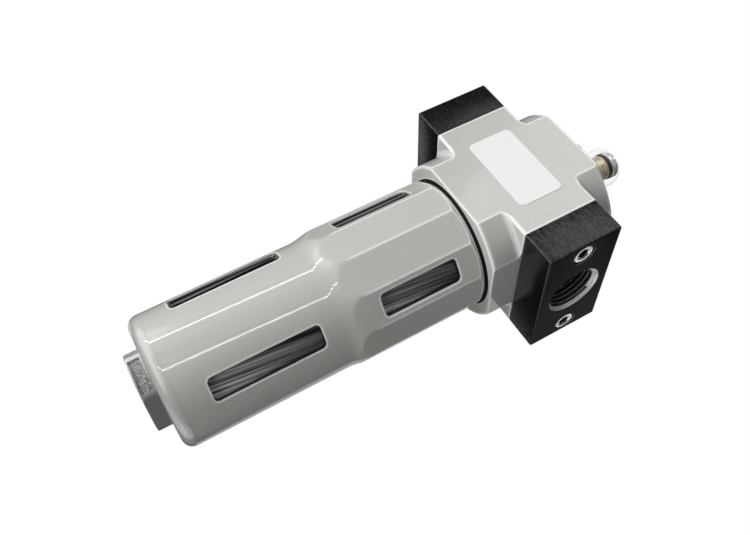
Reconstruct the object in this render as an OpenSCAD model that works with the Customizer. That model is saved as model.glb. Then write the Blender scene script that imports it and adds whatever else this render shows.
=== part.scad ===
// Air line lubricator with a sight dome and a screw-on bowl behind a windowed guard.
// Millimetres. The origin is where the ports' axis crosses the bowl's axis. Air flows
// along +X, the dome is up (+Z) and the label faces the front (-Y).

/* [Cast body] */
// Length of the cast body between the two port plates
body_length = 56; // [55:1:60]
// Depth of the body and of the plates, front to back
body_depth = 55; // [54.5:0.5:60]
// Height of the flow block and of the plates
block_height = 31; // [29:1:34]
// Radius of the round barrel that carries the dome and the bowl
barrel_radius = 31.5; // [30.5:0.5:36]
// Height of the barrel's top face above the port axis
top_height = 26.5; // [25.5:0.5:34]
// Depth of the skirt's rim below the port axis
skirt_depth = 27.1; // [26:0.1:32]
// Radius of the air passage through the body
passage_radius = 9; // [8:0.25:9.25]
// Wall left between the air passage and the bowl's ceiling
ceiling_wall = 3; // [2.5:0.1:4]
// Edge rounding of the block and of the plates
edge_round = 0.8; // [0.4:0.1:1.5]
// Edge rounding of the barrel's top
top_round = 1.6; // [0.8:0.1:2.5]
// Edge rounding of the skirt's rim
rim_round = 0.8; // [0.4:0.1:1.2]
// Fillet where the barrel grows out of the flow block
body_fillet = 1.6; // [1:0.1:2.5]

/* [Port plates] */
// Thickness of each port plate
plate_thickness = 14.5; // [13:0.5:20]
// Radius of the port at its thread crests
port_radius = 9.5; // [9:0.1:10]
// Radius of the port's countersink at the plate's face
port_sink_radius = 11.1; // [10.6:0.1:12.5]
// Depth of the port's countersink
port_sink_depth = 1.5; // [1:0.1:2.5]
// Section of the ring seal behind each plate
plate_seal_section = 1.6; // [1.2:0.1:2]

/* [Plate screws] */
// Distance of each screw from the port axis
screw_offset = 21.8; // [20.5:0.1:22.3]
// Radius of the screw's thread
screw_radius = 2.5; // [2:0.25:3]
// Radius of the screw's head
screw_head_radius = 4.25; // [4:0.25:4.5]
// Height of the screw's head
screw_head_height = 5; // [4:0.25:6]
// Length of thread held in the body
screw_grip = 10; // [8:1:12]
// Width across flats of the screw's socket
screw_socket = 4; // [3:0.5:4.5]

/* [Label] */
// Length of the blank label
label_length = 34.4; // [28:0.2:40]
// Height of the blank label
label_height = 18.4; // [14:0.2:22]
// Thickness of the blank label
label_thickness = 0.2; // [0.1:0.05:0.4]
// Corner radius of the blank label
label_round = 2.2; // [1:0.1:4]

/* [Bowl guard] */
// Radius of the thread that holds the guard in the skirt
thread_radius = 26; // [25:0.1:26.2]
// Wall of the threaded neck
neck_wall = 3.1; // [2.8:0.1:4]
// Radius at the corners of the twelve-sided upper part
guard_upper_radius = 26.6; // [26.2:0.1:28]
// Radius of the round lower part
guard_lower_radius = 25.05; // [24.5:0.05:26]
// Wall of the round lower part
guard_lower_wall = 2.55; // [2.2:0.05:3]
// Gap between the skirt's rim and the guard's shoulder
shoulder_gap = 1.2; // [0.8:0.1:2]
// Rounding of the shoulder
shoulder_round = 3; // [1.5:0.1:4]
// Depth at which the waist starts, below the port axis
waist_start = 73.5; // [72:0.5:78]
// Height of the waist between the two radii
waist_height = 11; // [8:0.5:13]
// Depth of the guard's floor below the port axis
guard_depth = 148; // [142:1:156]
// Thickness of the guard's floor
floor_thickness = 3; // [2:0.5:4]
// Rounding of the guard's lower edge
guard_round = 4.2; // [2:0.1:5]
// Direction in which the guard stops when it is tight
guard_angle = -80; // [-180:1:180]

/* [Guard windows] */
// Width of each window
window_width = 9.3; // [7:0.1:10.5]
// Corner radius of each window
window_round = 1.8; // [0.8:0.1:3]
// Depth of the top of the upper windows below the port axis
upper_window_top = 37.5; // [36:0.5:40]
// Height of the upper windows
upper_window_height = 31; // [26:0.5:32]
// Depth of the top of the lower windows below the port axis
lower_window_top = 91.5; // [90:0.5:96]
// Height of the lower windows
lower_window_height = 41.4; // [34:0.2:42]

/* [Guard hexagon] */
// Width across flats of the hexagon under the guard
hex_width = 27; // [22:0.5:32]
// Height of the hexagon
hex_height = 5.6; // [4.8:0.1:9]
// Rounding of the hexagon's corners
hex_round = 0.3; // [0.2:0.1:1]
// Edge left round the pocket in its front flat
pocket_edge = 0.7; // [0.5:0.1:1.5]
// Depth of the pocket
pocket_depth = 0.8; // [0.4:0.1:1.5]

/* [Oil bowl] */
// Gap between the bowl and the narrowest part of the guard
bowl_gap = 0.6; // [0.4:0.1:1.2]
// Wall of the clear bowl
bowl_wall = 2.2; // [1.8:0.1:2.8]
// Thickness of the bowl's flange
flange_thickness = 3; // [2:0.25:4]
// Section of the bowl's ring seal
bowl_seal_section = 1.8; // [1.4:0.1:2.4]
// Gap between the bowl's bottom and the guard's floor
bowl_floor_gap = 1.7; // [1:0.1:3]
// Rounding of the bowl's bottom outside
bowl_round = 8; // [5:0.5:10]

/* [Siphon] */
// Outside radius of the siphon tube
siphon_radius = 2.5; // [2.2:0.1:2.8]
// Bore radius of the siphon tube
siphon_bore = 1.5; // [1.3:0.1:1.7]
// Radius of the pickup strainer
strainer_radius = 4.5; // [4:0.25:5]
// Height of the pickup strainer
strainer_height = 11; // [8:0.5:14]
// Gap between the strainer and the bowl's floor
strainer_gap = 2.4; // [1.8:0.1:4]
// Radius of the check ball
ball_radius = 1.5; // [1.4:0.05:1.6]

/* [Sight dome] */
// Outside radius of the clear dome
dome_radius = 8; // [7.6:0.1:8.4]
// Height of the dome's rim above the top face
dome_height = 25.6; // [24.5:0.1:29]
// Rounding of the dome towards its rim
dome_round = 7; // [4:0.5:7.5]
// Wall of the dome
dome_wall = 1.4; // [1:0.1:1.6]
// Radius of the dome's threaded base
dome_base_radius = 9.9; // [9.6:0.1:10.4]
// Depth of the dome's base in its pocket
dome_base_depth = 6; // [5:0.5:7]
// Section of the dome's ring seal
dome_seal_section = 1.8; // [1.4:0.1:2]

/* [Regulating screw] */
// Radius of the screw's slotted head
regulator_head_radius = 5.5; // [5.3:0.1:5.8]
// Height of the slotted head
regulator_head_height = 3; // [2.5:0.1:4]
// Width of the driver slot
slot_width = 1.3; // [0.8:0.1:2]
// Depth of the driver slot
slot_depth = 1.5; // [1:0.1:2]
// Section of the screw's ring seal
regulator_seal_section = 1.5; // [1.2:0.1:1.6]
// Radius of the brass drip bushing
bushing_radius = 5.1; // [4.8:0.05:5.2]
// Length of the drip bushing
bushing_length = 11.5; // [10:0.5:12.5]
// Radius of the screw's stem
stem_radius = 3.4; // [3:0.1:3.6]

/* [Filler plug] */
// Distance of the filler plug in front of the bowl's axis
filler_offset = 16.5; // [16:0.25:17.5]
// Radius of the filler plug's head
filler_head_radius = 5; // [4.6:0.1:5.4]
// Height of the filler plug's head
filler_head_height = 4; // [3:0.5:6]
// Radius of the filler plug's thread
filler_thread_radius = 4; // [3.5:0.25:4.2]
// Length of the filler plug's thread
filler_thread_length = 8.5; // [6:0.5:9]

/* [Venturi and bypass] */
// Thickness of the venturi wall across the air passage
venturi_thickness = 7; // [5:0.5:9]
// Radius of the venturi's throat
throat_radius = 1.8; // [1.2:0.1:2.2]
// Height of the venturi's axis above the port axis
throat_height = 4.6; // [4.2:0.1:4.8]
// Thickness of the bypass flap
flap_thickness = 1; // [0.8:0.1:1.4]
// Radius of the flap's hinge pin
flap_pin_radius = 0.8; // [0.6:0.05:0.9]

/* [Hidden] */
$fn = 120;

// Clearances
thread_fit = 0.1;
slip_fit = 0.05;
seal_fit = 0.1;
cut = 1;

// Body
half_length = body_length / 2;
half_depth = body_depth / 2;
ceiling = -(passage_radius + ceiling_wall);
skirt_rim = -skirt_depth;
skirt_bore = thread_radius + thread_fit;

// Plate screws and seals
screw_hole = screw_radius + slip_fit;
screw_sink = screw_head_height + 0.3;
seal_groove_radius = max(passage_radius, port_radius) + plate_seal_section / 2 + 2.1;
seal_groove_depth = plate_seal_section + seal_fit;

// Bowl, from the ceiling down
bowl_seal_space = bowl_seal_section + 2 * seal_fit;
flange_top = ceiling - bowl_seal_space;
flange_under = flange_top - flange_thickness;
flange_radius = thread_radius - 0.6;
neck_bore = thread_radius - neck_wall;
lower_bore = guard_lower_radius - guard_lower_wall;
bowl_radius = min(neck_bore, lower_bore) - bowl_gap;
bowl_inner = bowl_radius - bowl_wall;
guard_floor = -guard_depth + floor_thickness;
bowl_bottom = guard_floor + bowl_floor_gap;
bowl_inner_floor = bowl_bottom + bowl_wall;
bowl_inner_round = bowl_round - bowl_wall;
bowl_seal_radius = (bowl_inner + flange_radius) / 2 + 0.9;

// Guard
turned_radius = guard_upper_radius + 0.15;
shoulder = skirt_rim - shoulder_gap;
relief_radius = thread_radius - 1;
thread_end = skirt_rim + 0.7;
waist_top = -waist_start;
waist_low = waist_top - waist_height;
hex_bottom = -guard_depth - hex_height;
hex_corner = hex_width / sqrt(3) - hex_round;
hex_flat = 2 * sqrt(pow(hex_corner, 2) - pow(hex_width / 2, 2));
bore_step_top = (waist_top + waist_low) / 2 + 1;

// Siphon, behind the air passage
siphon_stem = siphon_radius + 0.4;
siphon_y = passage_radius + siphon_stem + 0.6;
siphon_flange = siphon_stem + 1.6;
siphon_flange_thickness = 1.6;
siphon_seat = ceiling + 4;
siphon_bore_seat = 0.6 * ball_radius;
ball_rest = siphon_seat + sqrt(pow(ball_radius, 2) - pow(siphon_bore_seat, 2)) + 0.1;
ball_chamber = ball_radius + 0.4;
ball_chamber_top = ball_rest + ball_radius + 0.6;
riser_bore = ball_radius - 0.25;
tube_top = ceiling - siphon_flange_thickness;
barb_length = 6;
strainer_bottom = bowl_inner_floor + strainer_gap;
strainer_socket = 4.5;
tube_end = strainer_bottom + strainer_height - strainer_socket;

// Dome, from the pocket's floor up
dome_base = top_height - dome_base_depth;
pocket_radius = dome_base_radius + slip_fit;
pocket_floor = dome_base - dome_seal_section - 2 * seal_fit;
dome_seal_radius = dome_base_radius - dome_seal_section / 2 - 0.1;
dome_rim = top_height + dome_height;
dome_inner = dome_radius - dome_wall;
regulator_head_bore = regulator_head_radius + thread_fit;
rim_reach = regulator_head_bore - dome_radius + dome_round;
dome_crown = dome_rim + dome_round - sqrt(pow(dome_round, 2) - pow(rim_reach, 2));
regulator_top = dome_rim - 0.1;
regulator_under = regulator_top - regulator_head_height;
bushing_top = regulator_under - regulator_seal_section - 0.2;
bushing_bottom = bushing_top - bushing_length;
bushing_seat_height = 2.6;
stem_bore = stem_radius + slip_fit;
well_radius = 2;
well_bottom = bushing_bottom + 2.6;
well_height = 2.9;
stem_end = well_bottom + well_height;
nozzle_bore = 0.5;
nozzle_length = 2.5;
needle_radius = 1;
riser_radius = 1.1;
riser_y = bushing_radius - riser_radius - 0.4;
riser_foot = pocket_floor - 3;

// Filler
filler_seal_thickness = 1.2;
filler_hole = filler_thread_radius + slip_fit;
filler_passage = 2.9;
filler_under = top_height + filler_seal_thickness;

// Venturi wall and bypass flap, about the bowl's axis
venturi_radius = passage_radius - slip_fit;
venturi_face = venturi_thickness / 2;
bypass_radius = passage_radius - 2.1;
bypass_top = -1.2;
flap_radius = passage_radius - 1;
knuckle_radius = flap_pin_radius + 0.7;
flap_axis_x = venturi_face + knuckle_radius + 0.1;
flap_axis_z = 0.9;
flap_half_width = passage_radius - 3;
ear_inner = flap_half_width + 0.2;
ear_outer = ear_inner + 1.4;
flap_neck_bottom = flap_axis_z - knuckle_radius - 0.9;

// Centred rectangle with round corners
module soft_rectangle(width, height, round) {
    square([width - 2 * round, height], center = true);
    square([width, height - 2 * round], center = true);
    for (x = [-1, 1], y = [-1, 1])
        translate([x * (width / 2 - round), y * (height / 2 - round)])
            circle(round);
}

// Half section of a disc from z = low to z = high, with its rims rounded
module disc_section(radius, low, high, round_low, round_high) {
    translate([0, low + round_low])
        square([radius, high - low - round_low - round_high]);
    if (round_low > 0) {
        translate([0, low])
            square([radius - round_low, 2 * round_low]);
        translate([radius - round_low, low + round_low])
            circle(round_low);
    }
    if (round_high > 0) {
        translate([0, high - 2 * round_high])
            square([radius - round_high, 2 * round_high]);
        translate([radius - round_high, high - round_high])
            circle(round_high);
    }
}

// Solid disc with rounded rims
module soft_disc(radius, low, high, round_low = 0, round_high = 0) {
    rotate_extrude()
        intersection() {
            disc_section(radius, low, high, round_low, round_high);
            translate([0, low])
                square([radius, high - low]);
        }
}

// Round seal about the Z axis
module seal_ring(radius, section, z) {
    translate([0, 0, z])
        rotate_extrude()
            translate([radius, 0])
                circle(section / 2);
}

// Cylinder between two heights
module pillar(radius, low, high) {
    translate([0, 0, low])
        cylinder(r = radius, h = high - low);
}

// Cylinder along X between two places
module bar_x(radius, low, high) {
    translate([low, 0, 0])
        rotate([0, 90, 0])
            cylinder(r = radius, h = high - low);
}

// Bar of hexagonal section between two heights
module hex_bar(width, low, high) {
    translate([0, 0, low])
        rotate([0, 0, 30])
            cylinder(r = width / sqrt(3), h = high - low, $fn = 6);
}

// Flow block between the plates
module flow_block() {
    rotate([90, 0, 90])
        translate([0, 0, -half_length])
            linear_extrude(body_length)
                soft_rectangle(body_depth, block_height, edge_round);
}

// Ring that fills the corner between the barrel and the block's underside
module corner_fillet() {
    rotate_extrude()
        difference() {
            translate([barrel_radius - cut, -block_height / 2 - body_fillet])
                square([body_fillet + cut, body_fillet + cut]);
            translate([barrel_radius + body_fillet, -block_height / 2 - body_fillet])
                circle(body_fillet);
        }
}

// Round barrel, cut flat on its four sides in line with the block
module barrel() {
    intersection() {
        union() {
            soft_disc(barrel_radius, skirt_rim, top_height, rim_round, top_round);
            for (side = [0, 1])
                mirror([0, 0, side])
                    corner_fillet();
        }
        cube([body_length, body_depth, 4 * skirt_depth], center = true);
    }
}

// Oil way from the ball chamber up beside the passage and across to the dome
module riser_way() {
    bend_z = passage_radius + 2;
    rise = riser_foot + 0.5 - bend_z;
    reach = siphon_y - riser_y;
    translate([0, siphon_y, 0]) {
        pillar(siphon_stem + slip_fit, ceiling - cut, siphon_seat);
        pillar(ball_chamber, siphon_seat - cut, ball_chamber_top);
        pillar(riser_bore, ball_chamber_top - cut, bend_z);
    }
    translate([0, siphon_y, bend_z - riser_bore])
        rotate([atan2(reach, rise + riser_bore), 0, 0])
            cylinder(r = 0.9, h = norm([reach, rise + riser_bore]));
    translate([0, riser_y, 0])
        pillar(riser_radius + slip_fit, riser_foot, pocket_floor + cut);
}

module housing() {
    color([0.8, 0.8, 0.78])
        difference() {
            union() {
                flow_block();
                barrel();
            }
            // threaded skirt for the guard and room for the bowl's flange
            pillar(skirt_bore, skirt_rim - cut, ceiling);
            // air passage
            bar_x(passage_radius, -half_length - cut, half_length + cut);
            // dome pocket and the drip hole under it
            pillar(pocket_radius, pocket_floor, top_height + cut);
            pillar(1.5, 0, pocket_floor + cut);
            riser_way();
            // bowl pressure hole, upstream of the venturi
            translate([-half_length / 2, 0, 0])
                pillar(0.8, ceiling - cut, 0);
            // filler passage
            translate([0, -filler_offset, 0]) {
                pillar(filler_passage, ceiling - cut, top_height);
                pillar(filler_hole, filler_under - filler_thread_length - 1, top_height + cut);
            }
            // tapped holes for the plate screws
            for (side = [0, 1], y = [-1, 1])
                translate([0, y * screw_offset, 0])
                    mirror([side, 0, 0])
                        bar_x(screw_hole, half_length - screw_grip - 2, half_length + cut);
        }
}

// Port plate on the inlet side of the bowl's axis
module port_plate() {
    outer = -half_length - plate_thickness;
    difference() {
        rotate([90, 0, 90])
            translate([0, 0, outer])
                linear_extrude(plate_thickness)
                    soft_rectangle(body_depth, block_height, edge_round);
        bar_x(port_radius, outer - cut, -half_length + cut);
        translate([outer, 0, 0])
            rotate([0, 90, 0])
                cylinder(r1 = port_sink_radius, r2 = port_radius, h = port_sink_depth);
        for (y = [-1, 1])
            translate([0, y * screw_offset, 0]) {
                bar_x(screw_radius + 0.25, outer - cut, -half_length + cut);
                bar_x(screw_head_radius + 0.35, outer - cut, outer + screw_sink);
            }
        // seal groove in the inner face
        difference() {
            bar_x(
                seal_groove_radius + plate_seal_section / 2 + seal_fit,
                -half_length - seal_groove_depth,
                -half_length + cut
            );
            bar_x(
                seal_groove_radius - plate_seal_section / 2 - seal_fit,
                -half_length - seal_groove_depth - cut,
                -half_length + 2 * cut
            );
        }
    }
}

module inlet_plate() {
    color([0.13, 0.13, 0.13])
        port_plate();
}

module outlet_plate() {
    color([0.13, 0.13, 0.13])
        mirror([1, 0, 0])
            port_plate();
}

// Ring seal in the groove of the inlet plate
module plate_seal() {
    translate([-half_length - seal_groove_depth / 2, 0, 0])
        rotate([0, 90, 0])
            seal_ring(seal_groove_radius, plate_seal_section, 0);
}

module inlet_seal() {
    color([0.08, 0.08, 0.08])
        plate_seal();
}

module outlet_seal() {
    color([0.08, 0.08, 0.08])
        mirror([1, 0, 0])
            plate_seal();
}

// Socket head screw, its head towards -X
module plate_screw() {
    head_seat = -half_length - plate_thickness + screw_sink;
    difference() {
        union() {
            bar_x(screw_head_radius, head_seat - screw_head_height, head_seat);
            bar_x(screw_radius, head_seat, -half_length + screw_grip);
        }
        rotate([0, -90, 0])
            hex_bar(
                screw_socket,
                -head_seat + screw_head_height / 2,
                -head_seat + screw_head_height + cut
            );
    }
}

module plate_screws() {
    color([0.75, 0.75, 0.76])
        for (side = [0, 1], y = [-1, 1])
            translate([0, y * screw_offset, 0])
                mirror([side, 0, 0])
                    plate_screw();
}

module front_label() {
    color([0.96, 0.96, 0.94])
        translate([0, -half_depth, 0])
            rotate([90, 0, 0])
                linear_extrude(label_thickness)
                    soft_rectangle(label_length, label_height, label_round);
}

// Wall across the air passage with the venturi above and the bypass opening below
module venturi_insert() {
    color([0.72, 0.58, 0.3])
        difference() {
            union() {
                bar_x(venturi_radius, -venturi_face, venturi_face);
                // ears for the flap's pin
                for (side = [0, 1])
                    mirror([0, side, 0])
                        translate([0, ear_inner, 0]) {
                            translate([
                                venturi_face - cut,
                                0,
                                flap_axis_z - knuckle_radius
                            ])
                                cube([
                                    flap_axis_x - venturi_face + cut,
                                    ear_outer - ear_inner,
                                    2 * knuckle_radius
                                ]);
                            translate([flap_axis_x, 0, flap_axis_z])
                                rotate([-90, 0, 0])
                                    cylinder(r = knuckle_radius, h = ear_outer - ear_inner);
                        }
            }
            translate([flap_axis_x, -ear_outer - cut, flap_axis_z])
                rotate([-90, 0, 0])
                    cylinder(r = flap_pin_radius + slip_fit, h = 2 * (ear_outer + cut));
            // throat with a flared mouth at both ends
            translate([0, 0, throat_height]) {
                bar_x(throat_radius, -venturi_face - cut, venturi_face + cut);
                for (side = [0, 1])
                    mirror([side, 0, 0])
                        translate([-venturi_face, 0, 0])
                            rotate([0, 90, 0])
                                cylinder(r1 = throat_radius + 1, r2 = throat_radius, h = 2);
            }
            pillar(1.2, throat_height, passage_radius + cut);
            intersection() {
                bar_x(bypass_radius, -venturi_face - cut, venturi_face + cut);
                translate([-venturi_thickness, -passage_radius, bypass_top - 2 * passage_radius])
                    cube([2 * venturi_thickness, 2 * passage_radius, 2 * passage_radius]);
            }
        }
}

module flap_pin() {
    color([0.75, 0.75, 0.76])
        translate([flap_axis_x, -ear_outer, flap_axis_z])
            rotate([-90, 0, 0])
                cylinder(r = flap_pin_radius, h = 2 * ear_outer);
}

// Half-round flap that hangs on its pin and covers the bypass opening
module bypass_flap() {
    color([0.78, 0.79, 0.8])
        difference() {
            union() {
                translate([flap_axis_x, -flap_half_width, flap_axis_z])
                    rotate([-90, 0, 0])
                        cylinder(r = knuckle_radius, h = 2 * flap_half_width);
                translate([venturi_face, -flap_half_width, flap_neck_bottom - 0.5])
                    cube([
                        flap_thickness,
                        2 * flap_half_width,
                        flap_axis_z - flap_neck_bottom + 0.5
                    ]);
                intersection() {
                    bar_x(flap_radius, venturi_face, venturi_face + flap_thickness);
                    translate([
                        0,
                        -passage_radius,
                        flap_neck_bottom - 2 * passage_radius
                    ])
                        cube([2 * passage_radius, 2 * passage_radius, 2 * passage_radius]);
                }
            }
            translate([flap_axis_x, -flap_half_width - cut, flap_axis_z])
                rotate([-90, 0, 0])
                    cylinder(r = flap_pin_radius + slip_fit, h = 2 * (flap_half_width + cut));
        }
}

// Fitting that carries the siphon tube and the ball's seat
module siphon_head() {
    color([0.72, 0.58, 0.3])
        translate([0, siphon_y, 0])
            difference() {
                union() {
                    pillar(siphon_stem, tube_top, siphon_seat);
                    pillar(siphon_flange, tube_top, ceiling);
                    pillar(siphon_bore - slip_fit, tube_top - barb_length, tube_top);
                }
                pillar(siphon_bore_seat, tube_top - barb_length - cut, siphon_seat + cut);
            }
}

module siphon_tube() {
    color([0.9, 0.9, 0.88])
        translate([0, siphon_y, 0])
            difference() {
                pillar(siphon_radius, tube_end, tube_top);
                pillar(siphon_bore, tube_end - cut, tube_top + cut);
            }
}

module pickup_strainer() {
    color([0.66, 0.52, 0.3])
        translate([0, siphon_y, 0])
            difference() {
                soft_disc(
                    strainer_radius,
                    strainer_bottom,
                    strainer_bottom + strainer_height,
                    1,
                    1
                );
                pillar(
                    siphon_radius + slip_fit,
                    tube_end,
                    strainer_bottom + strainer_height + cut
                );
                pillar(siphon_bore, strainer_bottom + 2, tube_end + cut);
            }
}

module check_ball() {
    color([0.75, 0.75, 0.76])
        translate([0, siphon_y, ball_rest])
            sphere(ball_radius);
}

// Clear dome on a threaded base, bored from the top for the regulating screw
module sight_dome() {
    color([0.85, 0.88, 0.9, 0.4])
        difference() {
            union() {
                pillar(dome_base_radius, dome_base, top_height);
                soft_disc(dome_radius, dome_base, dome_crown, 0, dome_round);
            }
            pillar(dome_inner, dome_base - cut, bushing_top - bushing_seat_height);
            pillar(bushing_radius + slip_fit, dome_base, bushing_top + cut);
            pillar(regulator_head_bore, bushing_top, dome_crown + cut);
        }
}

module dome_seal() {
    color([0.08, 0.08, 0.08])
        seal_ring(dome_seal_radius, dome_seal_section, (pocket_floor + dome_base) / 2);
}

// Brass bushing with the needle's seat and the drip nozzle
module drip_bushing() {
    color([0.76, 0.62, 0.33])
        difference() {
            union() {
                pillar(bushing_radius, bushing_bottom, bushing_top);
                translate([0, 0, bushing_bottom - nozzle_length])
                    cylinder(r1 = nozzle_bore + 0.6, r2 = 2.2, h = nozzle_length);
            }
            pillar(stem_bore, stem_end - 0.3, bushing_top + cut);
            pillar(well_radius, well_bottom, stem_end);
            pillar(nozzle_bore, bushing_bottom - nozzle_length - cut, well_bottom + cut);
            translate([0, riser_y, 0])
                pillar(riser_radius + slip_fit, bushing_bottom - cut, bushing_bottom + 1.5);
            translate([0, riser_y - 0.4, 0])
                pillar(0.5, bushing_bottom, well_bottom + 1.5);
            translate([0, 0, well_bottom + 1])
                rotate([-90, 0, 0])
                    cylinder(r = 0.5, h = riser_y - 0.4);
        }
}

module riser_tube() {
    color([0.76, 0.62, 0.33])
        translate([0, riser_y, 0])
            difference() {
                pillar(riser_radius, riser_foot + 0.6, bushing_bottom + 1.4);
                pillar(riser_radius - 0.4, riser_foot, bushing_bottom + 2);
            }
}

// Slotted head, stem and needle in one turned piece
module regulating_screw() {
    needle_end = well_bottom - 0.6;
    color([0.8, 0.81, 0.82])
        difference() {
            union() {
                soft_disc(regulator_head_radius, regulator_under, regulator_top, 0, 0.8);
                pillar(stem_radius, stem_end, regulator_under + 0.5);
                pillar(needle_radius, well_bottom + 1.2, stem_end + 0.5);
                translate([0, 0, needle_end])
                    cylinder(
                        r1 = nozzle_bore - 0.25,
                        r2 = needle_radius,
                        h = well_bottom + 1.2 - needle_end
                    );
            }
            translate([
                -2 * regulator_head_radius,
                -slot_width / 2,
                regulator_top - slot_depth
            ])
                cube([4 * regulator_head_radius, slot_width, slot_depth + cut]);
        }
}

module regulator_seal() {
    color([0.06, 0.06, 0.06])
        seal_ring(
            regulator_head_radius - regulator_seal_section / 2 - slip_fit,
            regulator_seal_section,
            (bushing_top + regulator_under) / 2
        );
}

module filler_plug() {
    color([0.75, 0.75, 0.76])
        translate([0, -filler_offset, 0])
            difference() {
                union() {
                    soft_disc(
                        filler_head_radius,
                        filler_under,
                        filler_under + filler_head_height,
                        0,
                        0.6
                    );
                    pillar(
                        filler_thread_radius,
                        filler_under - filler_thread_length,
                        filler_under + cut
                    );
                }
                hex_bar(
                    filler_head_radius,
                    filler_under + filler_head_height / 3,
                    filler_under + filler_head_height + cut
                );
            }
}

module filler_seal() {
    color([0.72, 0.42, 0.28])
        translate([0, -filler_offset, top_height])
            difference() {
                cylinder(r = filler_head_radius, h = filler_seal_thickness);
                translate([0, 0, -cut])
                    cylinder(
                        r = filler_thread_radius + slip_fit,
                        h = filler_seal_thickness + 2 * cut
                    );
            }
}

// Clear bowl that hangs by its flange on the guard's neck
module oil_bowl() {
    color([0.55, 0.58, 0.58, 0.45])
        difference() {
            union() {
                soft_disc(bowl_radius, bowl_bottom, flange_top, bowl_round, 0);
                pillar(flange_radius, flange_under, flange_top);
            }
            soft_disc(
                bowl_inner,
                bowl_inner_floor,
                flange_top + cut,
                bowl_inner_round,
                0
            );
        }
}

module bowl_seal() {
    color([0.08, 0.08, 0.08])
        seal_ring(bowl_seal_radius, bowl_seal_section, (ceiling + flange_top) / 2);
}

// Radius of the guard at a height between the waist's two ends
function waist_radius(share) =
    guard_lower_radius
    + (turned_radius - guard_lower_radius) * share * share * (3 - 2 * share);

// Half section of the guard's outside, from its shoulder down
module guard_section() {
    steps = 8;
    round_in = guard_lower_radius - guard_round;
    shoulder_in = turned_radius - shoulder_round;
    polygon([
        [0, -guard_depth],
        [round_in, -guard_depth],
        [round_in, -guard_depth + guard_round],
        [guard_lower_radius, -guard_depth + guard_round],
        for (i = [0 : steps])
            [waist_radius(i / steps), waist_low + waist_height * i / steps],
        [turned_radius, shoulder - shoulder_round],
        [shoulder_in, shoulder - shoulder_round],
        [shoulder_in, shoulder],
        [0, shoulder]
    ]);
    translate([round_in, -guard_depth + guard_round])
        circle(guard_round);
    translate([shoulder_in, shoulder - shoulder_round])
        circle(shoulder_round);
}

// Outside of the guard below its neck: twelve flats above the waist, round below it
module guard_outside() {
    intersection() {
        rotate_extrude()
            guard_section();
        union() {
            translate([0, 0, waist_low])
                cylinder(r = guard_upper_radius, h = waist_height + 2 * skirt_depth, $fn = 12);
            pillar(2 * guard_upper_radius, -guard_depth - cut, waist_low + 0.5);
        }
    }
}

module window_cutter(top, height) {
    translate([bowl_inner, 0, -top - height / 2])
        rotate([90, 0, 90])
            linear_extrude(guard_upper_radius)
                soft_rectangle(window_width, height, window_round);
}

module bowl_guard() {
    color([0.8, 0.8, 0.78])
        rotate([0, 0, guard_angle])
            difference() {
                union() {
                    guard_outside();
                    pillar(relief_radius, shoulder - shoulder_round, thread_end + 0.1);
                    pillar(thread_radius, thread_end, flange_under);
                    intersection() {
                        hex_bar(hex_width, hex_bottom, -guard_depth + cut);
                        soft_disc(hex_corner, hex_bottom, -guard_depth + 2 * cut, 1, 0);
                    }
                }
                pillar(neck_bore, bore_step_top, flange_under + cut);
                translate([0, 0, waist_low])
                    cylinder(r1 = lower_bore, r2 = neck_bore, h = bore_step_top - waist_low);
                pillar(lower_bore, guard_floor, waist_low + 0.01);
                for (turn = [45 : 90 : 315])
                    rotate([0, 0, turn]) {
                        window_cutter(upper_window_top, upper_window_height);
                        window_cutter(lower_window_top, lower_window_height);
                    }
                translate([
                    hex_width / 2 - pocket_depth,
                    pocket_edge - hex_flat / 2,
                    hex_bottom + pocket_edge
                ])
                    cube([
                        2 * pocket_depth,
                        hex_flat - 2 * pocket_edge,
                        hex_height - 2 * pocket_edge
                    ]);
            }
}

housing();
inlet_plate();
outlet_plate();
inlet_seal();
outlet_seal();
plate_screws();
front_label();
venturi_insert();
flap_pin();
bypass_flap();
siphon_head();
siphon_tube();
pickup_strainer();
check_ball();
sight_dome();
dome_seal();
drip_bushing();
riser_tube();
regulating_screw();
regulator_seal();
filler_plug();
filler_seal();
oil_bowl();
bowl_seal();
bowl_guard();
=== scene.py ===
import math

import bpy
from mathutils import Euler, Matrix, Vector


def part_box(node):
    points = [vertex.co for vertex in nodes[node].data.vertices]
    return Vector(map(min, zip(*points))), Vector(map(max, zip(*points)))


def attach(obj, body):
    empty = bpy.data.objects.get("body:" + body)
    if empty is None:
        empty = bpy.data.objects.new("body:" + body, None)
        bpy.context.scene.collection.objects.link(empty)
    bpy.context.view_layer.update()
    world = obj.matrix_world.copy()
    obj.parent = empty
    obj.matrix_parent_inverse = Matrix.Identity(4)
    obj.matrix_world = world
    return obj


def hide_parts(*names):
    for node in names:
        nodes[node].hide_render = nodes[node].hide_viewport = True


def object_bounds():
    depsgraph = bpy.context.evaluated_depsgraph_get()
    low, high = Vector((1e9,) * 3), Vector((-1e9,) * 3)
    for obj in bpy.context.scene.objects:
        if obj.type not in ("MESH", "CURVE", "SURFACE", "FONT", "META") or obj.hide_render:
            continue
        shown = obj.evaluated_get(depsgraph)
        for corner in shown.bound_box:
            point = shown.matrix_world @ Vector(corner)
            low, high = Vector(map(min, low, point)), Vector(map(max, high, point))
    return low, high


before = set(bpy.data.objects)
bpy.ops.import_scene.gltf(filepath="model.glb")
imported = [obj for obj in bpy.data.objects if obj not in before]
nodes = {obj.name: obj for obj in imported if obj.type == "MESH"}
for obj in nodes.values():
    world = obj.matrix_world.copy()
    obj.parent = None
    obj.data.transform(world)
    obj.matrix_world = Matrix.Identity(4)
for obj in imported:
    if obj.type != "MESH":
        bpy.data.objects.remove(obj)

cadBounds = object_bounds()
mm = 0.001
print("frame loaded:", len(nodes), "nodes")


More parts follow.
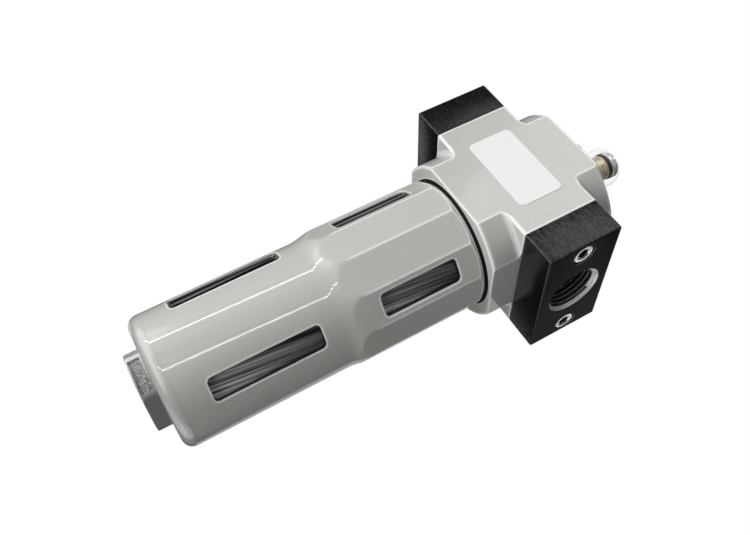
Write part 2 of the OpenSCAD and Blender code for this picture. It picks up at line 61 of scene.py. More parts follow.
# Camera, lights and floor

cameraSettings = {
    "place": (0.1562, -0.2528, -0.1422),
    "turn": (123.081, -59.904, 2.844),
    "lens": 39.38,
    "shift": (-0.0036, 0.0015),
}

# round lamps on a ball about the part: turn and rise in degrees, power in watts, width in metres
lampSettings = {
    "target": (0, 0, -0.03),
    "reach": 2.0,
    "lamps": {
        "keyLow": (-75, -55, 17.0, 1.6),
        "keyLeft": (-135, -32, 30.0, 2.4),
        "frontHigh": (-105, 33, 8.8, 1.4),
        "rightHigh": (-45, 35, 2.0, 1.6),
        "rightLow": (45, -25, 7.5, 1.6),
        "backRight": (102, 14, 3.7, 1.6),
        "rightBack": (60, -50, 6.0, 1.6),
        "back": (150, 55, 10.0, 1.6),
        "backLow": (136, -20, 0.6, 0.45),
        "screwGlint": (64, 28, 0.75, 0.5),
    },
}

# narrow strips whose reflections are the long bright lines on the guard
stripSettings = {
    "target": (0, 0, -0.11),
    "reach": 1.0,
    "width": 0.03,
    "strips": {
        "rightStrip": ((-64, 16), (-86, -24), 1.15),
        "leftStrip": ((-116, 14), (-135, -22), 1.15),
    },
}

# the floor lies low enough for the bowl and its guard to come down
stageSettings = {"floorSize": 6.0, "floorDrop": 0.142, "worldLight": 0.02}


def addCamera(settings):
    bpy.ops.object.camera_add(location=settings["place"])
    camera = bpy.context.object
    camera.name = "photoCamera"
    camera.rotation_euler = Euler([math.radians(angle) for angle in settings["turn"]], "XYZ")
    camera.data.sensor_width = 36.0
    camera.data.lens = settings["lens"]
    camera.data.shift_x, camera.data.shift_y = settings["shift"]
    camera.data.clip_start = 0.005
    bpy.context.scene.camera = camera


def towards(turn, rise):
    turn, rise = math.radians(turn), math.radians(rise)
    return Vector((math.cos(turn) * math.cos(rise), math.sin(turn) * math.cos(rise), math.sin(rise)))


def addLamp(name, turn, rise, power, width, settings):
    away = towards(turn, rise)
    bpy.ops.object.light_add(type="AREA", location=Vector(settings["target"]) + settings["reach"] * away)
    lamp = bpy.context.object
    lamp.name = name + "Lamp"
    lamp.rotation_euler = away.to_track_quat("Z", "Y").to_euler()
    lamp.data.shape = "DISK"
    lamp.data.size = width
    lamp.data.energy = power


def addStrip(name, start, end, power, settings):
    first = settings["reach"] * towards(*start)
    last = settings["reach"] * towards(*end)
    middle = 0.5 * (first + last)
    bpy.ops.object.light_add(type="AREA", location=Vector(settings["target"]) + middle)
    strip = bpy.context.object
    strip.name = name
    back = middle.normalized()
    across = (last - first).cross(back).normalized()
    along = back.cross(across)
    turn = Matrix((across, along, back)).transposed()
    strip.rotation_euler = turn.to_euler()
    strip.data.shape = "RECTANGLE"
    strip.data.size = settings["width"]
    strip.data.size_y = (last - first).length
    strip.data.energy = power


def deselectAll():
    if bpy.context.object and bpy.context.object.mode != "OBJECT":
        bpy.ops.object.mode_set(mode="OBJECT")
    bpy.ops.object.select_all(action="DESELECT")


def addFloor(settings):
    deselectAll()
    height = cadBounds[0][2] - settings["floorDrop"]
    bpy.ops.mesh.primitive_plane_add(size=settings["floorSize"], location=(0, 0, height))
    floor = bpy.context.object
    floor.name = "studioFloor"
    bpy.ops.object.transform_apply(location=True)
    # a lit white table: the camera sees it, and it throws no light on the part
    floor.visible_diffuse = False
    floor.visible_glossy = False
    floor.visible_transmission = False
    floor.visible_shadow = False
    return floor


# Materials

class Wire:
    # a shader socket that adds, multiplies and so on like a number
    def __init__(self, paint, socket):
        self.paint = paint
        self.socket = socket

    def maths(self, operation, first, second):
        return self.paint.node("ShaderNodeMath", {"operation": operation}, {0: first, 1: second})

    def __add__(self, other):
        return self.maths("ADD", self, other)

    def __radd__(self, other):
        return self.maths("ADD", other, self)

    def __sub__(self, other):
        return self.maths("SUBTRACT", self, other)

    def __rsub__(self, other):
        return self.maths("SUBTRACT", other, self)

    def __mul__(self, other):
        return self.maths("MULTIPLY", self, other)

    def __rmul__(self, other):
        return self.maths("MULTIPLY", other, self)

    def __gt__(self, other):
        return self.maths("GREATER_THAN", self, other)

    def __lt__(self, other):
        return self.maths("LESS_THAN", self, other)


class Paint:
    # one material: node() adds any node, shader() adds its surface
    def __init__(self, name):
        self.material = bpy.data.materials.new(name)
        self.material.use_nodes = True
        self.tree = self.material.node_tree
        self.tree.nodes.clear()
        self.output = self.tree.nodes.new("ShaderNodeOutputMaterial")

    def node(self, kind, settings, values, out=0):
        made = self.tree.nodes.new(kind)
        for key, value in settings.items():
            if key == "stops":
                self.setStops(made.color_ramp, value)
            else:
                setattr(made, key, value)
        for key, value in values.items():
            self.plug(made.inputs[key], value)
        return Wire(self, made.outputs[out])

    def setStops(self, ramp, stops):
        while len(ramp.elements) < len(stops):
            ramp.elements.new(0.5)
        for element, (place, tone) in zip(ramp.elements, stops):
            element.position = place
            element.color = (*tone, 1.0)

    def plug(self, socket, value):
        if isinstance(value, Wire):
            self.tree.links.new(value.socket, socket)
        elif isinstance(value, tuple) and len(value) == 3 and socket.type == "RGBA":
            socket.default_value = (*value, 1.0)
        else:
            socket.default_value = value

    def place(self):
        return self.node("ShaderNodeTexCoord", {}, {}, "Object")

    def noise(self, scale, detail=2.0, roughness=0.5, place=None):
        return self.node("ShaderNodeTexNoise", {}, {
            "Vector": place or self.place(),
            "Scale": scale,
            "Detail": detail,
            "Roughness": roughness,
        }, 0)

    def blend(self, factor, first, second):
        return self.node("ShaderNodeMix", {"data_type": "RGBA"}, {
            0: factor,
            6: first,
            7: second,
        }, 2)

    def mixVectors(self, factor, first, second):
        return self.node("ShaderNodeMix", {"data_type": "VECTOR"}, {
            0: factor,
            4: first,
            5: second,
        }, 1)

    def spread(self, value, low, high, fromLow=0.0, fromHigh=1.0):
        return self.node("ShaderNodeMapRange", {}, {
            "Value": value,
            "From Min": fromLow,
            "From Max": fromHigh,
            "To Min": low,
            "To Max": high,
        })

    def softEdge(self, radius):
        return self.node("ShaderNodeBevel", {"samples": 6}, {"Radius": radius})

    def split(self, vector):
        parts = self.node("ShaderNodeSeparateXYZ", {}, {"Vector": vector})
        return [Wire(self, parts.socket.node.outputs[i]) for i in range(3)]

    def join(self, x, y, z):
        return self.node("ShaderNodeCombineXYZ", {}, {"X": x, "Y": y, "Z": z})

    def length(self, vector):
        return self.node("ShaderNodeVectorMath", {"operation": "LENGTH"}, {0: vector}, "Value")

    def stretch(self, place, scale, turn=(0.0, 0.0, 0.0)):
        return self.node("ShaderNodeMapping", {}, {"Vector": place, "Scale": scale, "Rotation": turn})

    def edges(self, soft, limits):
        # 0 on the flat, 1 where the softened normal leaves the true one
        true = self.node("ShaderNodeNewGeometry", {}, {}, "True Normal")
        same = self.node("ShaderNodeVectorMath", {"operation": "DOT_PRODUCT"}, {0: soft, 1: true}, "Value")
        return self.spread(1 - same, 0.0, 1.0, *limits)

    def bump(self, height, distance, strength=1.0, normal=None):
        values = {"Height": height, "Distance": distance, "Strength": strength}
        if normal:
            values["Normal"] = normal
        return self.node("ShaderNodeBump", {}, values)

    def shader(self, values):
        surface = self.node("ShaderNodeBsdfPrincipled", {}, values)
        self.tree.links.new(surface.socket, self.output.inputs["Surface"])
        return self.material


castPaint = {
    "light": (0.64, 0.64, 0.61),
    "dark": (0.50, 0.50, 0.476),
    "cloudScale": 60.0,
    "speckScale": 1500.0,
    "speckShare": 0.55,
    "grainScale": 2600.0,
    "grainDepth": 0.00003,
    "grainStrength": 0.55,
    "rough": (0.36, 0.5),
    "edge": 0.0004,
    "coat": 0.9,
    "coatRough": 0.07,
    # painted highlight along the edges: its colour, the reach of the softened normal and the limits of its
    # mask
    "highlightTone": (0.97, 0.97, 0.95),
    "highlightEdge": 0.0013,
    "highlightLimits": (0.001, 0.008),
    # near-black painted shade for the gap and the window walls
    "paintedShade": (0.012, 0.012, 0.012),
}

# painted shade on the threads, for the dark gap between housing and guard: everything inside a radius,
# between two heights in millimetres
skirtThread = {"radius": 26.4, "low": -28.0, "high": -11.9}
neckThread = {"radius": 26.4, "low": -27.95, "high": -10.0}

# what the guard has besides its paint, painted shade and light among them; places in millimetres, shares from
# 0 to 1
guardZones = {
    # painted shade on the cut walls of the windows and on the guard's inside at their heights
    "windows": [
        {"radius": 25.3, "low": -70.0, "high": -36.0},
        {"radius": 24.6, "low": -134.0, "high": -90.0},
    ],
    "wallStreaks": {
        "scale": (1450.0, 1450.0, 9.0),
        "limits": (0.48, 0.60),
        "tone": (0.48, 0.48, 0.45),
        "side": -10.0,
        "top": -34.0,
    },
    "waist": {"heights": (-88.0, -85.0, -74.0, -71.5), "edge": 0.0035},
    "rim": {"heights": (-148.1, -142.5), "share": 0.55},
    "hexagon": {
        "top": -148.1,
        "share": 0.9,
        "span": (-7.0, 6.0),
        "light": (0.95, 0.95, 0.93),
        "dark": (0.20, 0.20, 0.19),
    },
    "pocket": {
        "turn": -80.0,
        "near": 12.55,
        "far": 12.8,
        "top": -148.4,
        "grain": 1700.0,
        "depth": 0.35,
        "fleckLimits": (0.42, 0.62),
        "light": (0.55, 0.55, 0.53),
        "dark": (0.07, 0.07, 0.068),
        "darkShare": 0.7,
    },
}


def paintedShadeInside(paint, place, zone):
    # 1 inside a radius and between two heights, where the cast part gets near-black painted shade
    across, deep, height = paint.split(place)
    radius = paint.length(paint.join(across, deep, 0.0))
    inside = (radius < zone["radius"] * mm) * (height > zone["low"] * mm)
    return inside * (height < zone["high"] * mm)


def waistMask(paint, height, heights):
    # 0 outside the outer two heights and 1 between the inner two
    low, lowEnd, highEnd, high = [level * mm for level in heights]
    return paint.spread(height, 0.0, 1.0, low, lowEnd) * (1 - paint.spread(height, 0.0, 1.0, highEnd, high))


def wallStreaks(paint, place, paintedShade, settings):
    # the painted shade on the walls of the windows on the -X side gets lighter long streaks, standing in for
    # the streaked bowl seen there, where the photograph shows streaks
    across, _, height = paint.split(place)
    streakMask = paint.noise(1.0, 2.0, 0.5, paint.stretch(place, settings["scale"]))
    streakMask = paint.spread(streakMask, 0.0, 1.0, *settings["limits"])
    streakMask = streakMask * (across < settings["side"] * mm) * (height < settings["top"] * mm)
    return paint.blend(streakMask, paintedShade, settings["tone"])


def lowEndShade(paint, place, tone, rim, hexagon):
    # painted shade and light: the rim is painted darker towards the hexagon, and the hexagon lighter on its
    # -X side and darker towards +X, for how the lamps fall on it
    across, _, height = paint.split(place)
    fade = paint.spread(height, rim["share"], 0.0, *[level * mm for level in rim["heights"]])
    tone = paint.blend(fade, tone, hexagon["dark"])
    side = paint.spread(across, 0.0, 1.0, *[limit * mm for limit in hexagon["span"]])
    below = (height < hexagon["top"] * mm) * hexagon["share"]
    return paint.blend(below, tone, paint.blend(side, hexagon["light"], hexagon["dark"]))


def pocketMask(paint, place, pocket):
    # 1 on the floor of the pocket in the hexagon
    turned = paint.node("ShaderNodeMapping", {}, {
        "Vector": place,
        "Rotation": (0.0, 0.0, -math.radians(pocket["turn"])),
    })
    across, _, height = paint.split(turned)
    floor = (across > pocket["near"] * mm) * (across < pocket["far"] * mm)
    return floor * (height < pocket["top"] * mm)


def roughPocket(paint, place, tone, normal, pocket):
    floor = pocketMask(paint, place, pocket)
    pit = paint.noise(pocket["grain"], 3.0, 0.7, place)
    flecks = paint.spread(pit, 0.0, 1.0, *pocket["fleckLimits"])
    tone = paint.blend(floor * flecks, tone, pocket["light"])
    tone = paint.blend(floor * (1 - flecks) * pocket["darkShare"], tone, pocket["dark"])
    return tone, paint.bump(pit * floor, pocket["depth"] * mm, 1.0, normal)


def makeCastPaint(name, settings, thread, guard=None):
    paint = Paint(name)
    place = paint.place()
    cloud = paint.noise(settings["cloudScale"], 3.0, 0.5, place)
    speck = paint.noise(settings["speckScale"], 2.0, 0.6, place)
    grain = paint.noise(settings["grainScale"], 2.0, 0.5, place)
    share = settings["speckShare"]
    tone = paint.blend(cloud * (1 - share) + speck * share, settings["dark"], settings["light"])
    paintedShade = paintedShadeInside(paint, place, thread)
    paintedShadeTone = settings["paintedShade"]
    soft = paint.softEdge(settings["edge"])
    # painted highlight: the edges are painted lighter where the softened normal leaves the true one
    highlightMask = paint.edges(paint.softEdge(settings["highlightEdge"]), settings["highlightLimits"])
    if guard:
        # the waist is cast round: its normals soften wider, and it gets no painted edge highlight
        waist = waistMask(paint, paint.split(place)[2], guard["waist"]["heights"])
        soft = paint.mixVectors(waist, soft, paint.softEdge(guard["waist"]["edge"]))
        highlightMask = highlightMask * (1 - waist)
    normal = paint.bump(grain, settings["grainDepth"], settings["grainStrength"], soft)
    tone = paint.blend(highlightMask, tone, settings["highlightTone"])
    if guard:
        for zone in guard["windows"]:
            paintedShade = paintedShade + paintedShadeInside(paint, place, zone)
        paintedShadeTone = wallStreaks(paint, place, paintedShadeTone, guard["wallStreaks"])
        tone = lowEndShade(paint, place, tone, guard["rim"], guard["hexagon"])
        tone, normal = roughPocket(paint, place, tone, normal, guard["pocket"])
    return paint.shader({
        "Base Color": paint.blend(paintedShade, tone, paintedShadeTone),
        "Roughness": paint.spread(speck, *settings["rough"]),
        "Specular IOR Level": 0.5,
        "Normal": normal,
        "Coat Weight": (1 - paintedShade) * settings["coat"],
        "Coat Roughness": settings["coatRough"],
    })


blackPaint = {
    "light": (0.050, 0.050, 0.046),
    "dark": (0.001, 0.001, 0.001),
    "coarseScale": 900.0,
    "fineScale": 2400.0,
    "streakScale": (300.0, 1100.0, 1100.0),
    "streakTurn": (0.5, 0.3, 0.2),
    "streakShare": 0.55,
    "wornLimits": (0.38, 0.62),
    "wornLeast": 0.08,
    "frontFace": -27.2,
    "frontLeast": 0.25,
    "frontFade": (-28.0, 28.0),
    "outerFace": 42.2,
    "outerRough": 0.30,
    # painted highlight along the edges: its colour and the limits of its mask
    "highlightTone": (0.40, 0.40, 0.39),
    "highlightLimits": (0.03, 0.16),
    "edge": 0.0006,
    "rough": (0.20, 0.32),
    "specular": 0.3,
    "depth": 0.00016,
    "strength": 0.8,
}


def makeBlackPaint(settings):
    paint = Paint("blackCastPaint")
    place = paint.place()
    across, deep, _ = paint.split(place)
    coarse = paint.noise(settings["coarseScale"], 4.0, 0.65, place)
    fine = paint.noise(settings["fineScale"], 2.0, 0.5, place)
    along = paint.stretch(place, settings["streakScale"], settings["streakTurn"])
    streak = paint.noise(1.0, 3.0, 0.6, along)
    soft = paint.softEdge(settings["edge"])
    # painted light: the grain is painted lighter grey on the front faces, most towards +X, where the lamps
    # fall, to match the photograph
    fade = paint.spread(across, settings["frontLeast"], 1.0, *[limit * mm for limit in settings["frontFade"]])
    front = (deep < settings["frontFace"] * mm) * fade
    least = settings["wornLeast"]
    worn = paint.spread(coarse * 0.5 + streak * 0.5, 0.0, 1.0, *settings["wornLimits"])
    tone = paint.blend(worn * (front * (1 - least) + least), settings["dark"], settings["light"])
    reach = settings["outerFace"] * mm
    outer = (across > reach) + (across < -reach)
    share = settings["streakShare"]
    relief = coarse * (1 - share) + streak * share
    # painted highlight: the edges are painted lighter grey
    return paint.shader({
        "Base Color": paint.blend(paint.edges(soft, settings["highlightLimits"]), tone, settings["highlightTone"]),
        "Roughness": paint.spread(fine, *settings["rough"]) + outer * settings["outerRough"],
        "Specular IOR Level": settings["specular"],
        "Normal": paint.bump(relief, settings["depth"], settings["strength"], soft),
    })


metalTones = {
    "brightSteel": {"tone": (0.92, 0.92, 0.93), "rough": (0.20, 0.32), "grain": 700.0, "metal": 0.85},
    "nickelPlate": {"tone": (0.94, 0.94, 0.94), "rough": (0.10, 0.20), "grain": 500.0, "metal": 0.8},
    "polishedHead": {"tone": (0.95, 0.95, 0.95), "rough": (0.08, 0.16), "grain": 500.0, "metal": 0.25},
    "turnedBrass": {"tone": (0.88, 0.79, 0.56), "rough": (0.30, 0.42), "grain": 900.0, "metal": 0.4,
                    "stain": {"tone": (0.42, 0.27, 0.08), "scale": 260.0,
                              "limits": (0.58, 0.72), "share": 0.7}},
    "sinteredBronze": {"tone": (0.42, 0.30, 0.16), "rough": (0.55, 0.8), "grain": 2200.0, "metal": 1.0},
    "turnedFace": {"tone": (0.95, 0.95, 0.92), "rough": (0.30, 0.40), "grain": 300.0, "metal": 0.25},
    "threadSteel": {"tone": (0.80, 0.80, 0.76), "rough": (0.18, 0.26), "grain": 120.0, "metal": 0.5},
    "threadShade": {"tone": (0.06, 0.06, 0.055), "rough": (0.25, 0.35), "grain": 120.0, "metal": 0.6},
    # near-black painted shade for the insides of sockets and slots
    "paintedRecessShade": {"tone": (0.010, 0.010, 0.010), "rough": (0.5, 0.7), "grain": 900.0, "metal": 0.2},
}

metalSurface = {"shade": 0.82, "edge": 0.00015, "depth": 0.00002, "strength": 0.3}


def makeMetal(name, settings, surface):
    paint = Paint(name)
    place = paint.place()
    grain = paint.noise(settings["grain"], 3.0, 0.6, place)
    shade = tuple(surface["shade"] * part for part in settings["tone"])
    tone = paint.blend(grain, shade, settings["tone"])
    if "stain" in settings:
        stain = settings["stain"]
        patch = paint.noise(stain["scale"], 2.0, 0.5, place)
        tone = paint.blend(paint.spread(patch, 0.0, stain["share"], *stain["limits"]), tone, stain["tone"])
    return paint.shader({
        "Base Color": tone,
        "Metallic": settings["metal"],
        "Roughness": paint.spread(grain, *settings["rough"]),
        "Normal": paint.bump(grain, surface["depth"], surface["strength"], paint.softEdge(surface["edge"])),
    })


# finishes with nothing but a fine grain
plainTones = {
    "blackRubber": {"dark": (0.003, 0.003, 0.003), "light": (0.010, 0.010, 0.010),
                    "grain": 1800.0, "detail": 2.0, "rough": (0.4, 0.55), "coat": 0.0},
    "blankLabelFilm": {"dark": (0.86, 0.87, 0.85), "light": (0.91, 0.92, 0.90),
                       "grain": 1200.0, "detail": 2.0, "rough": (0.34, 0.42), "coat": 0.15},
    "fibreWasher": {"dark": (0.30, 0.09, 0.05), "light": (0.46, 0.16, 0.09),
                    "grain": 1500.0, "detail": 4.0, "rough": (0.6, 0.8), "coat": 0.0},
    "milkyTube": {"dark": (0.62, 0.62, 0.58), "light": (0.74, 0.74, 0.70),
                  "grain": 300.0, "detail": 2.0, "rough": (0.25, 0.35), "coat": 0.0},
}


def makePlain(name, settings):
    paint = Paint(name)
    grain = paint.noise(settings["grain"], settings["detail"])
    return paint.shader({
        "Base Color": paint.blend(grain, settings["dark"], settings["light"]),
        "Roughness": paint.spread(grain, *settings["rough"]),
        "Coat Weight": settings["coat"],
    })


clearDome = {
    "clear": (0.93, 0.95, 0.96),
    "edge": (0.42, 0.43, 0.45),
    "facing": 0.35,
    "rough": (0.02, 0.05),
    "alpha": (0.015, 0.62),
    "ior": 1.58,
    "rippleScale": 120.0,
    "rippleDepth": 0.00005,
    "rippleStrength": 0.2,
}


def makeClearDome(settings):
    paint = Paint("clearDome")
    ripple = paint.noise(settings["rippleScale"], 1.0)
    rim = paint.node("ShaderNodeLayerWeight", {}, {"Blend": settings["facing"]}, "Facing")
    rim = rim * rim * rim
    return paint.shader({
        "Base Color": paint.blend(rim, settings["clear"], settings["edge"]),
        "Roughness": paint.spread(ripple, *settings["rough"]),
        "IOR": settings["ior"],
        "Alpha": paint.spread(rim, *settings["alpha"]),
        "Normal": paint.bump(ripple, settings["rippleDepth"], settings["rippleStrength"]),
    })


smokyBowl = {
    "dark": (0.006, 0.006, 0.006),
    "light": (0.95, 0.96, 0.94),
    "across": 1300.0,
    "along": 12.0,
    "slant": (5.3, -3.7),
    "broadScale": 0.28,
    "broadShare": 0.4,
    "streakLimits": (0.41, 0.62),
    "fadeLeast": 0.35,
    "upperFade": (-40.0, -66.0),
    "lowerFade": (-94.0, -130.0),
    "between": -80.0,
    "sideLeast": 0.8,
    "sideFade": (-10.0, 10.0),
    "rough": (0.08, 0.2),
    "alpha": (0.86, 0.97),
    "ior": 1.58,
    "depth": 0.00006,
    "strength": 0.35,
}


def makeSmokyBowl(settings):
    # long light and dark streaks up the wall, a little aslant
    paint = Paint("smokyBowl")
    place = paint.place()
    lean = tuple(math.radians(angle) for angle in (*settings["slant"], 0.0))
    leaning = paint.stretch(place, (1.0, 1.0, 1.0), lean)
    along = paint.stretch(leaning, (settings["across"], settings["across"], settings["along"]))
    streak = paint.noise(1.0, 4.0, 0.65, along)
    broad = paint.noise(settings["broadScale"], 2.0, 0.5, along)
    share = settings["broadShare"]
    tone = paint.spread(streak * (1 - share) + broad * share, 0.0, 1.0, *settings["streakLimits"])
    # painted light: the wall is painted lighter low in each window and on its +X side, to match the
    # photograph
    across, _, height = paint.split(place)
    least = settings["fadeLeast"]
    upper = paint.spread(height, least, 1.0, *[level * mm for level in settings["upperFade"]])
    lower = paint.spread(height, least, 1.0, *[level * mm for level in settings["lowerFade"]])
    middle = settings["between"] * mm
    fade = upper * (height > middle) + lower * (height < middle)
    side = paint.spread(across, settings["sideLeast"], 1.0, *[limit * mm for limit in settings["sideFade"]])
    tone = tone * fade * side
    return paint.shader({
        "Base Color": paint.blend(tone, settings["dark"], settings["light"]),
        "Roughness": paint.spread(streak, *settings["rough"]),
        "IOR": settings["ior"],
        "Alpha": paint.spread(tone, *settings["alpha"]),
        "Normal": paint.bump(streak, settings["depth"], settings["strength"]),
    })


def makeFloorPaint():
    paint = Paint("paleFloor")
    grain = paint.noise(8.0)
    return paint.shader({
        "Base Color": paint.blend(grain, (0.93, 0.93, 0.93), (0.95, 0.95, 0.95)),
        "Roughness": 0.85,
        "Emission Color": (1.0, 1.0, 1.0),
        "Emission Strength": 1.0,
    })


def lightWorld(strength):
    world = bpy.data.worlds.new("paleStudio")
    bpy.context.scene.world = world
    world.use_nodes = True
    tree = world.node_tree
    tree.nodes.clear()
    output = tree.nodes.new("ShaderNodeOutputWorld")
    rays = tree.nodes.new("ShaderNodeLightPath")
    seen = tree.nodes.new("ShaderNodeBackground")
    shining = tree.nodes.new("ShaderNodeBackground")
    mix = tree.nodes.new("ShaderNodeMixShader")
    seen.inputs["Color"].default_value = (1.0, 1.0, 1.0, 1.0)
    seen.inputs["Strength"].default_value = 1.0
    shining.inputs["Color"].default_value = (1.0, 1.0, 0.99, 1.0)
    shining.inputs["Strength"].default_value = strength
    tree.links.new(rays.outputs["Is Camera Ray"], mix.inputs[0])
    tree.links.new(shining.outputs[0], mix.inputs[1])
    tree.links.new(seen.outputs[0], mix.inputs[2])
    tree.links.new(mix.outputs[0], output.inputs["Surface"])


housingPaint = makeCastPaint("greyHousingPaint", castPaint, skirtThread)
guardPaint = makeCastPaint("greyGuardPaint", castPaint, neckThread, guardZones)
blackMetal = makeBlackPaint(blackPaint)
metals = {name: makeMetal(name, settings, metalSurface) for name, settings in metalTones.items()}
plain = {name: makePlain(name, settings) for name, settings in plainTones.items()}
domePlastic = makeClearDome(clearDome)
bowlPlastic = makeSmokyBowl(smokyBowl)
print("materials made:", len(bpy.data.materials))

finishes = {
    "housing": housingPaint,
    "bowl_guard": guardPaint,
    "inlet_plate": blackMetal,
    "outlet_plate": blackMetal,
    "inlet_seal": plain["blackRubber"],
    "outlet_seal": plain["blackRubber"],
    "dome_seal": plain["blackRubber"],
    "regulator_seal": plain["blackRubber"],
    "bowl_seal": plain["blackRubber"],
    "plate_screws": metals["brightSteel"],
    "flap_pin": metals["brightSteel"],
    "bypass_flap": metals["brightSteel"],
    "check_ball": metals["brightSteel"],
    "filler_plug": metals["nickelPlate"],
    "regulating_screw": metals["nickelPlate"],
    "front_label": plain["blankLabelFilm"],
    "venturi_insert": metals["turnedBrass"],
    "siphon_head": metals["turnedBrass"],
    "drip_bushing": metals["turnedBrass"],
    "riser_tube": metals["turnedBrass"],
    "pickup_strainer": metals["sinteredBronze"],
    "filler_seal": plain["fibreWasher"],
    "siphon_tube": plain["milkyTube"],
    "sight_dome": domePlastic,
    "oil_bowl": bowlPlastic,
}


def setFinish(piece, *materials):
    piece.data.materials.clear()
    for material in materials:
        piece.data.materials.append(material)


for name, material in finishes.items():
    setFinish(nodes[name], material)
print("finishes set on the nodes")


# Shaping helpers

def startPiece(name):
    piece = bpy.context.object
    piece.name = name
    piece.data.name = name
    return piece


def applyPlace(piece):
    deselectAll()
    piece.select_set(True)
    bpy.context.view_layer.objects.active = piece
    bpy.ops.object.transform_apply(location=True, rotation=True, scale=True)


def editPiece(piece):
    deselectAll()
    piece.select_set(True)
    bpy.context.view_layer.objects.active = piece
    bpy.ops.object.mode_set(mode="EDIT")


def leaveEdit():
    bpy.ops.object.mode_set(mode="OBJECT")


def applyModifier(piece, kind, **settings):
    deselectAll()
    piece.select_set(True)
    bpy.context.view_layer.objects.active = piece
    modifier = piece.modifiers.new(kind.lower(), kind)
    for key, value in settings.items():
        setattr(modifier, key, value)
    bpy.ops.object.modifier_apply(modifier=modifier.name)


def drawProfile(name, points):
    # a chain of edges: the plane is merged to one point, which is then extruded
    deselectAll()
    bpy.ops.mesh.primitive_plane_add(size=mm, location=(0, 0, 0))
    piece = startPiece(name)
    editPiece(piece)
    bpy.ops.mesh.select_all(action="SELECT")
    bpy.ops.mesh.merge(type="CENTER")
    bpy.ops.transform.translate(value=points[0])
    for start, end in zip(points, points[1:]):
        step = Vector(end) - Vector(start)
        bpy.ops.mesh.extrude_vertices_move(TRANSFORM_OT_translate={"value": step})
    bpy.ops.mesh.select_all(action="DESELECT")
    leaveEdit()
    return piece


def turnedPiece(name, section, steps=64, smooth=32.0):
    # section: (radius, height) points from the axis round and back to the axis
    points = [(radius * mm, 0.0, height * mm) for radius, height in section]
    piece = drawProfile(name, points)
    editPiece(piece)
    bpy.ops.mesh.select_all(action="SELECT")
    bpy.ops.mesh.spin(steps=steps, angle=math.tau, center=(0, 0, 0), axis=(0, 0, 1))
    bpy.ops.mesh.select_all(action="SELECT")
    bpy.ops.mesh.remove_doubles(threshold=0.001 * mm)
    bpy.ops.mesh.dissolve_degenerate(threshold=0.0005 * mm)
    bpy.ops.mesh.select_all(action="SELECT")
    bpy.ops.mesh.normals_make_consistent(inside=False)
    leaveEdit()
    smoothPiece(piece, smooth)
    return piece


def smoothPiece(piece, angle):
    deselectAll()
    piece.select_set(True)
    bpy.context.view_layer.objects.active = piece
    bpy.ops.object.shade_smooth_by_angle(angle=math.radians(angle))


def arc(centre, radius, start, end, count):
    return [
        (centre[0] + radius * math.cos(math.radians(start + (end - start) * i / count)),
         centre[1] + radius * math.sin(math.radians(start + (end - start) * i / count)))
        for i in range(count + 1)
    ]


def combine(piece, tool, operation):
    applyModifier(piece, "BOOLEAN", operation=operation, solver="EXACT", object=tool)
    bpy.data.objects.remove(tool)


def cutSocket(piece, name, size, floor, height):
    # a hexagon socket, size across its flats, cut upwards from its floor
    deselectAll()
    bpy.ops.mesh.primitive_cylinder_add(
        vertices=6,
        radius=size / math.sqrt(3) * mm,
        depth=height * mm,
        location=(0, 0, (floor + 0.5 * height) * mm),
    )
    hexagon = startPiece(name)
    applyPlace(hexagon)
    combine(piece, hexagon, "DIFFERENCE")


def paintFaces(piece, index, chosen):
    for face in piece.data.polygons:
        if chosen(face):
            face.material_index = index


def movePiece(piece, matrix):
    piece.matrix_world = matrix
    applyPlace(piece)


def copyPiece(piece, name):
    deselectAll()
    piece.select_set(True)
    bpy.context.view_layer.objects.active = piece
    bpy.ops.object.duplicate(linked=False)
    return startPiece(name)


def joinPieces(first, others):
    deselectAll()
    for piece in [first, *others]:
        piece.select_set(True)
    bpy.context.view_layer.objects.active = first
    bpy.ops.object.join()
    return first


def ridePiece(piece, body, replaced):
    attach(piece, body)
    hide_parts(replaced)


# Port plates with their cut threads

plateSettings = {
    "edge": 0.7,
    "overshoot": 1.0,
    "portRadius": 9.5,
    "threadDepth": 1.0,
    "pitch": 1.814,
    "sinkRadius": 11.1,
    "sinkDepth": 1.5,
    "bareEdge": 0.05,
    "crestEdge": 0.3,
    "screwPlace": 21.8,
    "sinkHole": 4.6,
    "sinkHoleDepth": 5.3,
    "screwHole": 2.75,
}


def threadTap(name, settings, low, high):
    # a threaded bar along Z, wider than the port by the thread's depth
    crest = settings["portRadius"]
    root = crest + settings["threadDepth"]
    pitch = settings["pitch"]
    heights = (0.0, 0.16, 0.46, 0.70, 1.0)
    radii = (crest, crest, root, root, crest)
    turns = math.ceil((high - low) / pitch) + 2
    start = low - pitch
    points = [(radius * mm, 0.0, (start + share * pitch) * mm) for share, radius in zip(heights, radii)]
    tap = drawProfile(name, points)
    applyModifier(tap, "SCREW", angle=math.tau, screw_offset=pitch * mm, iterations=turns,
                  steps=64, render_steps=64, use_merge_vertices=True, merge_threshold=0.002 * mm)
    editPiece(tap)
    bpy.ops.mesh.select_all(action="SELECT")
    bpy.ops.mesh.remove_doubles(threshold=0.002 * mm)
    for height, inner, outer in ((low, True, False), (high, False, True)):
        bpy.ops.mesh.select_all(action="SELECT")
        bpy.ops.mesh.bisect(plane_co=(0, 0, height * mm), plane_no=(0, 0, 1), use_fill=True,
                            clear_inner=inner, clear_outer=outer)
    bpy.ops.mesh.select_all(action="SELECT")
    bpy.ops.mesh.normals_make_consistent(inside=False)
    leaveEdit()
    return tap


